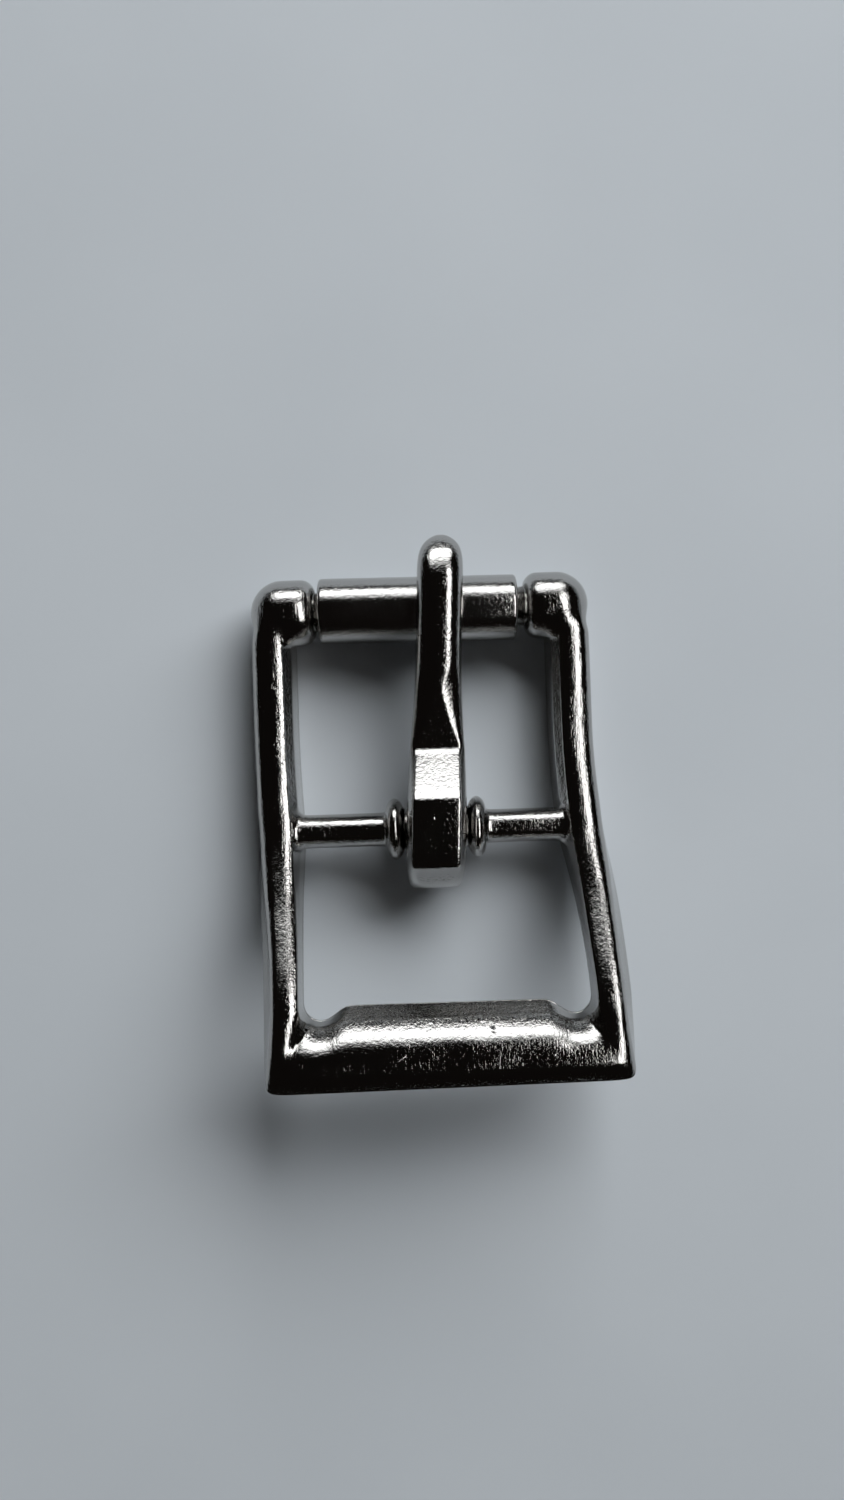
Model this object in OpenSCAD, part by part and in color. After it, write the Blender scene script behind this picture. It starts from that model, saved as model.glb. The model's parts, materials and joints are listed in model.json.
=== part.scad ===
// Roller buckle with a heel bar: a cast frame, a loose roller tube and a cast tongue.
// Millimetres. +Z is up and +Y runs from the heel bar to the roller. The buckle lies on Z = 0.
// The origin is at the middle of the outer box, on the surface that it lies on.

/* [Frame] */
// Clear width between the arms at the centre bar
strap_w = 20; // [14:0.5:30]
// Width of an arm at its foot
arm_w = 3.75; // [3.2:0.05:5]
// Height of an arm at the centre bar
arm_h = 4.7; // [4.4:0.05:5]
// Height of the flat arm beside the heel bar
low_arm_h = 3.15; // [2.6:0.05:4]
// How much wider each side opens at the heel bar's inner wall
flare = 0.75; // [0:0.05:3]
// How far the arms swell outwards behind the centre bar
swell = 0.2; // [0:0.05:0.6]
// How far the heel end of the casting stands out of line with the roller end
sweep = 1.15; // [0:0.05:1.5]
// From the centre bar's axis to the roller's axis
bar_to_roller = 17.15; // [15:0.05:24]
// From the centre bar's axis to the heel bar's inner wall
bar_to_wall = 13.9; // [12:0.05:20]
// Height of the upright foot edge all round the casting
foot_edge = 0.3; // [0.2:0.05:0.5]

/* [Heel bar] */
// Depth of the heel bar from its inner wall to its outer edge
heel_depth = 4.7; // [4:0.05:8]
// How far the heel bar's outer edge is out of square with the centre bar, in degrees
heel_turn = 0.7; // [-1.5:0.1:1.5]
// Height of the heel bar's crown above its sole
heel_h = 3.35; // [2.8:0.05:4]
// How far the heel bar's sole stands up off the table, so that a strap passes under it
heel_rise = 6.5; // [4:0.05:8]
// How much farther the heel bar's ends stand out than the arms
heel_end = 0.15; // [0:0.05:0.8]
// How far the lip stands out from the inner wall
lip_w = 1.1; // [0.2:0.05:1.6]
// How much of that the top of the lip's slope stands out
lip_top = 0.55; // [0.3:0.05:0.7]
// Length of each slanted end of the lip
lip_slant = 2.2; // [1.6:0.1:4]
// Radius of the inner corners
inner_r = 1.3; // [0.8:0.05:2]
// Radius of the outer corners
outer_r = 0.8; // [0.4:0.05:1.5]

/* [Bosses and axle] */
// Diameter of a boss
boss_d = 5.2; // [4.8:0.05:6]
// How far a boss stands in from the arm's inner edge
boss_in = 1.95; // [1.2:0.05:3]
// How much narrower the casting is over each boss than over the arms
boss_step = 0.5; // [0:0.05:0.8]
// Radius of a boss's inner rim
boss_rim = 1.2; // [0.4:0.05:1.4]
// Height of the bosses off the table, so that the arms' flat feet carry the casting
boss_lift = 0.05; // [0.03:0.01:0.1]
// Diameter of the roller's axle
axle_d = 3.1; // [2.4:0.05:3.4]

/* [Centre bar] */
// Diameter of the centre bar
bar_d = 2.6; // [2:0.05:3]
// Diameter of the hub that the tongue turns on
hub_d = 3.1; // [2.8:0.05:3.4]
// Height of the centre bar's axis
bar_z = 2.95; // [2.9:0.05:3.1]
// Diameter of a collar
collar_d = 4.8; // [4.2:0.05:5.2]
// Width of a collar
collar_w = 1.4; // [1:0.05:2]
// How far the tongue and its collars sit to the right of the bar's middle
hub_shift = 0.4; // [-1:0.05:1]

/* [Roller] */
// Outer diameter of the roller
roller_d = 5.1; // [4.6:0.05:5.2]
// Gap at each end of the roller when it is centred
roller_gap = 0.35; // [0.2:0.05:1]
// Where the roller lies in its end play, from -1 at the left to 1 at the right
roller_place = -0.4; // [-0.8:0.1:0.8]
// Radius of the roller's end edges
roller_rim = 0.3; // [0.1:0.05:0.4]

/* [Tongue] */
// From the centre bar's axis to the tongue's tip
tongue_reach = 22.35; // [20:0.05:27]
// Width of the tongue at its eye
eye_w = 4.6; // [3.6:0.05:5.4]
// Width of the tongue's blade
blade_w = 3.5; // [2.8:0.05:4]
// Thickness of the blade over the roller
blade_t = 2.6; // [2:0.05:3]
// Height of the hump's flat top above the centre bar's axis
hump_h = 4.6; // [3.6:0.05:5.4]
// Height of the blade's underside at the saddle, above the eye's underside
saddle_rise = 2.2; // [1.6:0.05:2.8]
// Wall of the eye under the centre bar
eye_wall = 1.1; // [0.8:0.05:1.2]
// How far the eye reaches behind the centre bar's axis
eye_back = 4.6; // [3.4:0.05:5.2]
// How far the blade leans to the right, in degrees
tongue_lean = 2.6; // [-3:0.1:3]

/* [Clearances] */
// Clearance all round the axle in the roller, and all round the hub in the tongue's eye
running_gap = 0.1; // [0.05:0.01:0.12]
// Gap between the eye and each collar
side_gap = 0.2; // [0.1:0.05:0.4]
// Gap between the roller and the blade that lies on it
rest_gap = 0.1; // [0.05:0.01:0.2]

/* [Hidden] */

strap_half = strap_w / 2;
bar_to_heel = bar_to_wall + heel_depth;
// Places across the casting, from its middle line
heel_in = strap_half + flare;
heel_out = strap_half + arm_w + heel_end;
notch_x = heel_in - inner_r;
// Middle of the whole buckle's length, in front of the centre bar
middle_y = (tongue_reach - bar_to_heel - (heel_out - outer_r) * abs(tan(heel_turn))) / 2;
boss_face = strap_half - boss_in;
boss_end = strap_half + arm_w - boss_step;
boss_z = boss_lift + boss_d / 2;
// The arms' ends leave the table inside the bosses, at this height
end_foot = boss_d / 8;
roller_l = 2 * (boss_face - roller_gap);
hub_l = eye_w + 2 * side_gap;
eye_bore = hub_d + 2 * running_gap;
eye_under = eye_bore / 2 + eye_wall;
// Height of the blade's underside over the roller, above the centre bar's axis
rest_h = boss_z + roller_d / 2 + rest_gap - bar_z;
saddle_h = saddle_rise - eye_under;
// The casting is straight in front of this share of the way to the roller, and swept behind it
sweep_from = 0.47;
// Sides of the round surfaces
$fn = 64;

// Arm stations, from the boss to the heel's corner.
ALONG = 0;    // place: 1 at the roller's axis, 0 at the centre bar, -1 at the heel's inner wall
INNER = 1;    // inner edge: share of the flare
OUTER = 2;    // outer edge: share of the step to the boss, or of the swell behind the centre bar
TALL = 3;     // height: 0 as the low arm, 1 as at the centre bar, 2 as the boss
CUT = 4;      // section: 0 round, 1 flat topped
ARM = [
    [1.05, 0.06, -3.9, 0.6, 0],
    [1.00, 0, -1.6, 1.45, 0],
    [0.96, 0, -1.15, 1.50, 0],
    [0.92, 0, -0.9, 1.25, 0],
    [0.88, 0, -0.65, 0.90, 0],
    [0.83, 0, -0.57, 0.76, 0],
    [0.72, 0, -0.5, 0.70, 0],
    [0.56, 0.02, -0.5, 0.70, 0],
    [0.38, 0.02, -0.5, 0.76, 0],
    [0.24, 0.04, -0.4, 0.86, 0.05],
    [0.11, 0.07, -0.15, 0.97, 0.1],
    [0, 0.13, 0, 1, 0.18],
    [-0.11, 0.27, 0.45, 0.94, 0.3],
    [-0.23, 0.51, 0.85, 0.78, 0.5],
    [-0.36, 0.76, 1, 0.52, 0.75],
    [-0.50, 0.87, 0.7, 0.28, 0.9],
    [-0.63, 0.94, 0.3, 0.10, 1],
    [-0.76, 1, 0.05, 0.02, 1],
];

// Sections across the casting, from its inner edge to its outer edge.
IN_LEAN = 0;     // lean of the inner wall: share of the width
IN_WALL = 1;     // height of the inner wall: share of the height
CROWN = 2;       // place of the crown: share of the width
FLATNESS = 3;    // flatness of the crown, where 2 is a plain arch
SHOULDER = 4;    // roundness of the shoulders, where 1 leaves them sharp
OUT_WALL = 5;    // height of the outer wall: share of the height
OUT_LEAN = 6;    // lean of the outer wall: share of the width
KNEE_LEAN = 7;   // where the inner wall bends to its bevel: share of the way from its foot to its shoulder
KNEE = 8;        // height of that bend: share of the height
ROUND_SECTION = [0.19, 0.94, 0.46, 2.4, 2.0, 0.70, 0.08, 0.12, 0.775];
FLAT_SECTION = [0.03, 0.86, 0.44, 2.6, 2.0, 0.66, 0.24, 0.50, 0.50];
HEEL_SECTION = [0.03, 0.40, 0.60, 2.0, 1.05, 0.78, 0.02, 0.30, 0.19];

CROWN_STEPS = 12;
CORNER_STEPS = 6;
SLANT_STEPS = 5;
LIP_STEPS = 3;

// Tongue stations, from its back to its tip. The hump's rows measure heights from the centre bar's
// axis, and the blade's rows measure the underside from the saddle and the top from the underside.
REACH = 0;    // place: share of the reach, or of the eye's back where negative
TOP = 1;      // hump: upper side, 1 at the hump's flat top. Blade: share of the blade's thickness
UNDER = 2;    // hump: lower side, -1 at the eye's underside. Blade: 0 at the saddle, 1 on the roller
WIDE = 3;     // width: 0 as the blade, 1 as the eye, and less than 0 at the tip
FACET = 4;    // section: 0 round topped, 1 flat topped with chamfers
HUMP = [
    [-1.00, 0.25, -0.05, 0.05, 0.3],
    [-0.97, 0.42, -0.34, 0.40, 0.4],
    [-0.88, 0.63, -0.58, 0.72, 0.6],
    [-0.74, 0.80, -0.77, 0.90, 0.8],
    [-0.55, 0.93, -0.91, 1, 1],
    [-0.30, 1, -0.98, 1, 1],
    [0, 1, -1, 1, 1],
    [0.055, 1, -0.96, 1, 1],
    [0.106, 1, -0.86, 0.99, 1],
    [0.125, 0.95, -0.80, 0.97, 1],
    [0.20, 0.68, -0.50, 0.86, 1],
    [0.26, 0.47, -0.27, 0.76, 1],
];
BLADE = [
    [0.285, 0.96, 0.03, 0.70, 0.95],
    [0.35, 0.93, 0.14, 0.48, 0.7],
    [0.43, 0.93, 0.29, 0.26, 0.35],
    [0.52, 0.95, 0.48, 0.1, 0.1],
    [0.62, 0.98, 0.69, 0.02, 0],
    [0.70, 1, 0.86, 0, 0],
    [0.77, 1, 1, 0, 0],
    [0.84, 0.99, 1.04, 0, 0],
    [0.90, 0.92, 1.00, 0, 0],
    [0.945, 0.80, 0.94, -0.25, 0],
    [0.975, 0.62, 0.92, -0.9, 0],
    [0.993, 0.40, 0.96, -1.9, 0],
    [1.000, 0.20, 1.02, -2.7, 0],
];

// Right half of a section across the tongue, from the middle of the underside to the middle of the
// top. Columns: share of the half width, share of the height.
ROUND_BLADE = [
    [0.35, 0], [0.70, 0.02], [0.90, 0.12], [0.985, 0.29], [1, 0.46],
    [0.95, 0.66], [0.80, 0.83], [0.56, 0.95], [0.28, 0.995],
];
FACET_BLADE = [
    [0.35, 0], [0.74, 0.01], [0.94, 0.05], [1, 0.14], [1, 0.50],
    [0.985, 0.80], [0.90, 0.91], [0.78, 0.985], [0.45, 1],
];

function mix(a, b, t) = a + (b - a) * t;
function eased(t) = let (c = min(1, max(0, t))) c * c * (3 - 2 * c);

// Sideways place of the casting's middle line, at a distance in front of the centre bar
function middle_x(y) =
    let (start = sweep_from * bar_to_roller)
    -sweep * (1 - eased((start - y) / (start + bar_to_wall)));

// A station of the casting: inner point, outer point, height, section, and how far the foot of
// the inner wall stands out and how high it is
POINT_IN = 0;
POINT_OUT = 1;
HEIGHT = 2;
SECTION = 3;
LIP = 4;
FOOT = 5;

function arm_height(share) =
    share > 1 ? mix(arm_h, boss_d, share - 1) : mix(low_arm_h, arm_h, share);

function arm_station(row) =
    let (
        y = row[ALONG] * (row[ALONG] > 0 ? bar_to_roller : bar_to_wall),
        inner = strap_half + flare * row[INNER],
        outer = strap_half + arm_w + row[OUTER] * (row[ALONG] > 0 ? boss_step : swell)
    )
    [
        [inner, y], [outer, y], arm_height(row[TALL]), mix(ROUND_SECTION, FLAT_SECTION, row[CUT]), 0,
        row[ALONG] > 1 ? end_foot : 0
    ];

// The inner point runs round the inner corner, while the outer point runs down the side, round
// the outer corner and back along the heel's edge
function corner_outer(share) =
    let (from_y = bar_to_wall - inner_r, turn = 90 * (3 * share - 1))
    share <= 1 / 3 ?
        [heel_out - heel_end * eased(1 - 3 * share), -mix(from_y, bar_to_heel - outer_r, 3 * share)] :
    share >= 2 / 3 ?
        [mix(heel_out - outer_r, notch_x, 3 * share - 2), -bar_to_heel] :
        [heel_out - outer_r + outer_r * cos(turn), -bar_to_heel + outer_r - outer_r * sin(turn)];

function corner_station(share) =
    [
        [notch_x + inner_r * cos(90 * share), -bar_to_wall + inner_r - inner_r * sin(90 * share)],
        corner_outer(share),
        mix(low_arm_h, heel_h, eased(share)),
        mix(FLAT_SECTION, HEEL_SECTION, eased(1.6 * share)),
        0,
        0
    ];

function heel_station(x) =
    [[x, -bar_to_wall], [x, -bar_to_heel], heel_h, HEEL_SECTION, lip_w * eased((notch_x - x) / lip_slant), 0];

right_stations = [
    for (row = ARM) arm_station(row),
    for (i = [0:CORNER_STEPS]) corner_station(i / CORNER_STEPS),
    for (i = [1:SLANT_STEPS]) heel_station(notch_x - lip_slant * i / SLANT_STEPS),
    for (i = [1:LIP_STEPS - 1]) heel_station((notch_x - lip_slant) * (1 - i / LIP_STEPS)),
];

function mirrored(s) =
    [
        [-s[POINT_IN].x, s[POINT_IN].y], [-s[POINT_OUT].x, s[POINT_OUT].y],
        s[HEIGHT], s[SECTION], s[LIP], s[FOOT]
    ];

// From the right boss round the heel to the left boss
stations = [
    each right_stations,
    heel_station(0),
    for (i = [len(right_stations) - 1:-1:0]) mirrored(right_stations[i]),
];

// Profile of a station: distance from the inner point, height
function profile(width, height, section, lip) =
    let (
        inner = [section[IN_LEAN] * width - lip_top * lip, section[IN_WALL] * height],
        outer = [width - section[OUT_LEAN] * width, section[OUT_WALL] * height],
        crown = section[CROWN] * width
    )
    [
        [-lip, 0],
        [-lip, foot_edge],
        [mix(-lip, inner.x, section[KNEE_LEAN]), section[KNEE] * height],
        inner,
        for (i = [1:CROWN_STEPS - 1])
            let (
                u = -cos(180 * i / CROWN_STEPS),
                x = mix(crown, u < 0 ? inner.x : outer.x, abs(u)),
                wall = mix(inner.y, outer.y, (x - inner.x) / (outer.x - inner.x)),
                arch = pow(1 - pow(abs(u), section[FLATNESS]), 1 / section[SHOULDER])
            )
            [x, mix(wall, height, arch)],
        outer,
        [width, foot_edge],
        [width, 0],
    ];

// How far the casting's sole stands up at a distance in front of the centre bar. It rises evenly, with
// a softer start and end, up to where the inner corners begin.
function lift(y) =
    let (share = min(1, max(0, -y / (bar_to_wall - inner_r))))
    heel_rise * mix(share, eased(share), 0.5);

// The casting's sweep and the heel bar's turn, as the real one has them
function cast_place(p) =
    let (back = max(0, (-p.y - bar_to_wall) / heel_depth))
    [p.x + middle_x(p.y), p.y + back * p.x * tan(heel_turn)];

function ring(s) =
    let (span = s[POINT_OUT] - s[POINT_IN], width = norm(span))
    [
        for (p = profile(width, s[HEIGHT], s[SECTION], s[LIP]))
            let (plan = s[POINT_IN] + span * p[0] / width)
            [each cast_place(plan), mix(s[FOOT], s[HEIGHT], p[1] / s[HEIGHT]) + lift(plan.y)]
    ];

// A closed solid through rings of equally many points
module loft(rings) {
    count = len(rings[0]);
    polyhedron(
        points = [for (r = rings) each r],
        faces = [
            [for (i = [count - 1:-1:0]) i],
            for (n = [0:len(rings) - 2], i = [0:count - 1])
                let (a = n * count + i, b = n * count + (i + 1) % count)
                each [[a, b, a + count], [b, b + count, a + count]],
            [for (i = [0:count - 1]) (len(rings) - 1) * count + i],
        ],
        convexity = 8
    );
}

// Half outline of a round bar with rounded end edges, ready to be turned about its axis
module rod_outline(radius, from, to, rim) {
    translate([0, from]) square([radius - rim, to - from]);
    translate([0, from + rim]) square([radius, to - from - 2 * rim]);
    for (y = [from + rim, to - rim])
        translate([radius - rim, y]) circle(r = rim);
}

// Turns an outline, drawn with its axis upright, about the X axis
module turned() {
    rotate([90, 0, 90]) rotate_extrude() children();
}

// Boss with a ball end on the outside and a rimmed face on the inside
module boss() {
    turned() {
        intersection() {
            translate([0, boss_end - boss_d / 2]) circle(d = boss_d);
            translate([0, boss_end - boss_d / 2]) square(boss_d);
        }
        difference() {
            rod_outline(boss_d / 2, boss_face, boss_end - boss_d / 2 + boss_rim, boss_rim);
            translate([0, boss_end - boss_d / 2]) square(boss_d);
        }
    }
}

module axle() {
    half = boss_face + boss_rim;
    turned() translate([0, -half]) square([axle_d / 2, 2 * half]);
}

// Centre bar with its hub and two collars, turned from one outline
module centre_bar() {
    end = strap_half + arm_w / 2;
    collar_rim = 0.46 * collar_w;
    turned() {
        translate([0, -end]) square([bar_d / 2, 2 * end]);
        translate([0, hub_shift - hub_l / 2 - collar_w / 2]) square([hub_d / 2, hub_l + collar_w]);
        for (side = [-1, 1]) {
            middle = hub_shift + side * (hub_l + collar_w) / 2;
            rod_outline(collar_d / 2, middle - collar_w / 2, middle + collar_w / 2, collar_rim);
        }
    }
}

module frame() {
    color([0.74, 0.72, 0.69]) translate([0, -middle_y, 0]) {
        loft([for (s = stations) ring(s)]);
        translate([middle_x(bar_to_roller), bar_to_roller, boss_z]) {
            boss();
            mirror([1, 0, 0]) boss();
            axle();
        }
        translate([middle_x(0), 0, bar_z]) centre_bar();
    }
}

module roller() {
    color([0.80, 0.78, 0.75])
    translate([middle_x(bar_to_roller) + roller_place * roller_gap, bar_to_roller - middle_y, boss_z])
        turned()
            difference() {
                rod_outline(roller_d / 2, -roller_l / 2, roller_l / 2, roller_rim);
                translate([0, -roller_l]) square([axle_d / 2 + running_gap, 2 * roller_l]);
            }
}

// Ring of the tongue, with its heights above the centre bar's axis
function tongue_ring(y, top, under, half, facet) =
    let (
        right = mix(ROUND_BLADE, FACET_BLADE, facet),
        shift = y * tan(tongue_lean)
    )
    [
        for (p = right) [shift + p[0] * half, y, mix(under, top, p[1])],
        for (i = [len(right) - 1:-1:0])
            [shift - right[i][0] * half, y, mix(under, top, right[i][1])],
    ];

function tongue_half(share) = mix(blade_w, eye_w, share) / 2;

function hump_ring(row) =
    tongue_ring(
        row[REACH] * (row[REACH] < 0 ? eye_back : tongue_reach),
        row[TOP] * hump_h,
        row[UNDER] * eye_under,
        tongue_half(row[WIDE]),
        row[FACET]
    );

function blade_ring(row) =
    let (under = mix(saddle_h, rest_h, row[UNDER]))
    tongue_ring(
        row[REACH] * tongue_reach,
        under + row[TOP] * blade_t,
        under,
        tongue_half(row[WIDE]),
        row[FACET]
    );

module tongue() {
    color([0.70, 0.68, 0.66])
    translate([middle_x(0) + hub_shift, -middle_y, bar_z])
        difference() {
            loft([for (row = HUMP) hump_ring(row), for (row = BLADE) blade_ring(row)]);
            turned() translate([0, -eye_w]) square([eye_bore / 2, 2 * eye_w]);
        }
}

frame();
roller();
tongue();
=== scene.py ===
"""Looks of a nickel plated roller buckle: a cast frame, a loose roller tube and a humped tongue.

Sizes are in millimetres and become metres when a piece is finished. X runs along the centre bar, Y from the
heel bar to the roller and Z up from the surface that the buckle lies on.
"""

from __future__ import annotations

import json
import logging
import math
from dataclasses import astuple, dataclass, field
from enum import Enum
from typing import Any, Callable, Iterable, Sequence

import bmesh
import bpy
from bmesh.types import BMVert
from mathutils import Matrix, Vector

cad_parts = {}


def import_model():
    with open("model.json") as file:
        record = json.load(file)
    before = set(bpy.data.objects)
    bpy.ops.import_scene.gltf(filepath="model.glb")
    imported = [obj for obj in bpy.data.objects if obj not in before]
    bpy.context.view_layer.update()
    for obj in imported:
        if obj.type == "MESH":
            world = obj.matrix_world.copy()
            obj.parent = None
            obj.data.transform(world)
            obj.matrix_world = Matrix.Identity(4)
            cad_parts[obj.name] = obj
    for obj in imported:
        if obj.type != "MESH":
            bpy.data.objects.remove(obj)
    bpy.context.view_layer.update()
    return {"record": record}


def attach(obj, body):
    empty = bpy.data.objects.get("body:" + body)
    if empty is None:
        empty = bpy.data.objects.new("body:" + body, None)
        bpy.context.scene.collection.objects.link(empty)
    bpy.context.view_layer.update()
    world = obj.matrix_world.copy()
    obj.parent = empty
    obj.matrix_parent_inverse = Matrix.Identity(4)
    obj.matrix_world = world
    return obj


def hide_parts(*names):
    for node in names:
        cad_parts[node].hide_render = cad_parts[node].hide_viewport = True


LOG = logging.getLogger("roller_buckle")
MM = 0.001
SUBDIVISIONS = 2

Point = tuple[float, float]
Ring = list[BMVert]


def mix(a: float, b: float, share: float) -> float:
    """Returns the value at a share of the way from a to b."""
    return a + (b - a) * share


def mix_points(a: Sequence[float], b: Sequence[float], share: float) -> tuple[float, ...]:
    """Returns the point at a share of the way from a to b."""
    return tuple(mix(p, q, share) for p, q in zip(a, b))


def eased(share: float) -> float:
    """Returns a share, held between 0 and 1, that starts and ends softly."""
    share = min(1.0, max(0.0, share))
    return share * share * (3 - 2 * share)


class Cage:
    """A control mesh that grows from one outline by extrusion, ring after ring."""

    def __init__(self) -> None:
        """Starts an empty mesh with its crease and grain layers."""
        self.bm = bmesh.new()
        self.crease = self.bm.edges.layers.float.new("crease_edge")
        self.grain = self.bm.verts.layers.float.new("grain")

    def start(self, points: Iterable[Sequence[float]]) -> Ring:
        """Draws a closed outline.

        Args:
            points: the outline's points.

        Returns:
            The outline's vertices.
        """
        ring = [self.bm.verts.new(p) for p in points]
        for a, b in zip(ring, ring[1:] + ring[:1]):
            self.bm.edges.new((a, b))
        return ring

    def grow(self, ring: Ring, points: Iterable[Sequence[float]]) -> Ring:
        """Extrudes a closed ring and moves the new ring to its points.

        Args:
            ring: the vertices to extrude, in order.
            points: a place for each new vertex.

        Returns:
            The new ring, in the same order.
        """
        edges = [self.bm.edges.get((a, b)) for a, b in zip(ring, ring[1:] + ring[:1])]
        made = bmesh.ops.extrude_edge_only(self.bm, edges=edges)["geom"]
        fresh = {v for v in made if isinstance(v, BMVert)}
        grown = [next(e.other_vert(v) for e in v.link_edges if e.other_vert(v) in fresh) for v in ring]
        for vert, point in zip(grown, points):
            vert.co = point
        return grown

    def join(self, ring: Ring, target: Ring) -> None:
        """Closes the gap between two rings of equally many vertices, each to its partner."""
        last = self.grow(ring, [v.co.copy() for v in target])
        bmesh.ops.weld_verts(self.bm, targetmap=dict(zip(last, target)))

    def close(self, ring: Ring, first: int) -> None:
        """Closes a flattened ring with a strip of faces between its two halves.

        Args:
            ring: the ring to close.
            first: index of the vertex at one end of the flat ring.
        """
        count = len(ring)
        one = [ring[(first + i) % count] for i in range(count // 2 + 1)]
        two = [ring[(first - i) % count] for i in range(count // 2 + 1)]
        self.bm.faces.new((one[0], one[1], two[1]))
        for i in range(1, count // 2 - 1):
            self.bm.faces.new((one[i], one[i + 1], two[i + 1], two[i]))
        self.bm.faces.new((one[-2], one[-1], two[-2]))

    def mark(self, rings: Sequence[Ring], index: int, crease: Callable[[int], float]) -> None:
        """Creases the line that runs through one vertex of every ring.

        Args:
            rings: the rings, in order.
            index: which vertex of each ring.
            crease: sharpness of the line after a ring, from 0 to 1.
        """
        for number, (a, b) in enumerate(zip(rings, rings[1:])):
            edge = self.bm.edges.get((a[index], b[index]))
            if edge is not None:
                edge[self.crease] = crease(number)

    def mark_ring(self, ring: Ring, indices: Iterable[int], crease: float) -> None:
        """Creases a stretch of one ring.

        Args:
            ring: the ring.
            indices: the vertices that the creased edges start from.
            crease: their sharpness, from 0 to 1.
        """
        for index in indices:
            edge = self.bm.edges.get((ring[index % len(ring)], ring[(index + 1) % len(ring)]))
            if edge is not None:
                edge[self.crease] = crease

    def open_patch(self, rings: Sequence[Ring], rows: range, columns: range) -> list[tuple[int, int]]:
        """Cuts a rectangular hole in the skin between rings.

        Args:
            rings: the rings, in order.
            rows: the hole's rings, from its first to its last.
            columns: the hole's vertices in a ring, from its first to its last.

        Returns:
            The hole's border as pairs of ring and vertex, in order.
        """
        wanted = {rings[r][c] for r in rows for c in columns}
        faces = [f for f in self.bm.faces if all(v in wanted for v in f.verts)]
        bmesh.ops.delete(self.bm, geom=faces, context="FACES")
        return (
            [(rows[0], c) for c in columns[:-1]]
            + [(r, columns[-1]) for r in rows[:-1]]
            + [(rows[-1], c) for c in reversed(columns[1:])]
            + [(r, columns[0]) for r in reversed(rows[1:])]
        )


def even_angles(border: Ring, centre: Point) -> list[float]:
    """Spreads a border's vertices evenly round a centre in the YZ plane.

    Args:
        border: the border's vertices, in order.
        centre: Y and Z of the axis.

    Returns:
        An angle for each vertex, close to its own.
    """
    real = [math.atan2(v.co.z - centre[1], v.co.y - centre[0]) for v in border]
    turn = sum(math.remainder(b - a, math.tau) for a, b in zip(real, real[1:] + real[:1]))
    step = math.copysign(math.tau / len(border), turn)
    offsets = [a - step * i for i, a in enumerate(real)]
    base = math.atan2(sum(map(math.sin, offsets)), sum(map(math.cos, offsets)))
    return [base + step * i for i in range(len(border))]


def circle(x: float, radius: float, centre: Point, angles: Iterable[float]) -> list[tuple[float, float, float]]:
    """Returns the points of a circle across the X axis, widened so that its smoothed form has the radius.

    Args:
        x: place along the axis.
        radius: radius of the smoothed form.
        centre: Y and Z of the axis.
        angles: an angle for each point.

    Returns:
        The points.
    """
    angles = list(angles)
    wide = radius * 3 / (2 + math.cos(math.tau / len(angles)))
    return [(x, centre[0] + wide * math.cos(a), centre[1] + wide * math.sin(a)) for a in angles]


def finish_piece(cage: Cage, name: str, material: bpy.types.Material, levels: int = SUBDIVISIONS) -> bpy.types.Object:
    """Turns a control mesh in millimetres into a piece in metres.

    Args:
        cage: the control mesh.
        name: the piece's name.
        material: its finish.
        levels: how often its faces are divided.

    Returns:
        The piece, at the origin.
    """
    bm = cage.bm
    bmesh.ops.scale(bm, vec=Vector((MM, MM, MM)), verts=bm.verts)
    bmesh.ops.recalc_face_normals(bm, faces=bm.faces)
    for face in bm.faces:
        face.smooth = True
    mesh = bpy.data.meshes.new(name)
    bm.to_mesh(mesh)
    bm.free()
    mesh.materials.append(material)
    piece = bpy.data.objects.new(name, mesh)
    bpy.context.scene.collection.objects.link(piece)
    if levels:
        smooth = piece.modifiers.new("Smooth", "SUBSURF")
        smooth.levels = smooth.render_levels = levels
    LOG.info("%s: %d control faces", name, len(mesh.polygons))
    return piece


class Wire:
    """A socket of a node tree, with the arithmetic that the finishes are written in."""

    def __init__(self, tree: "NodeTree", socket: bpy.types.NodeSocket) -> None:
        """Wraps a socket."""
        self.tree, self.socket = tree, socket

    def __add__(self, other: "Wire | float") -> "Wire":
        """Adds."""
        return self.tree.maths("ADD", self, other)

    def __sub__(self, other: "Wire | float") -> "Wire":
        """Subtracts."""
        return self.tree.maths("SUBTRACT", self, other)

    def __rsub__(self, other: float) -> "Wire":
        """Subtracts from a number."""
        return self.tree.maths("SUBTRACT", other, self)

    def __mul__(self, other: "Wire | float") -> "Wire":
        """Multiplies."""
        return self.tree.maths("MULTIPLY", self, other)

    __radd__ = __add__

    def band(self, low: float, high: float) -> "Wire":
        """Returns 0 below low, 1 above high and a soft step between."""
        settings = {"interpolation_type": "SMOOTHSTEP"}
        return self.tree.node("ShaderNodeMapRange", settings, {0: self, 1: low, 2: high, 3: 0.0, 4: 1.0})


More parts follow.
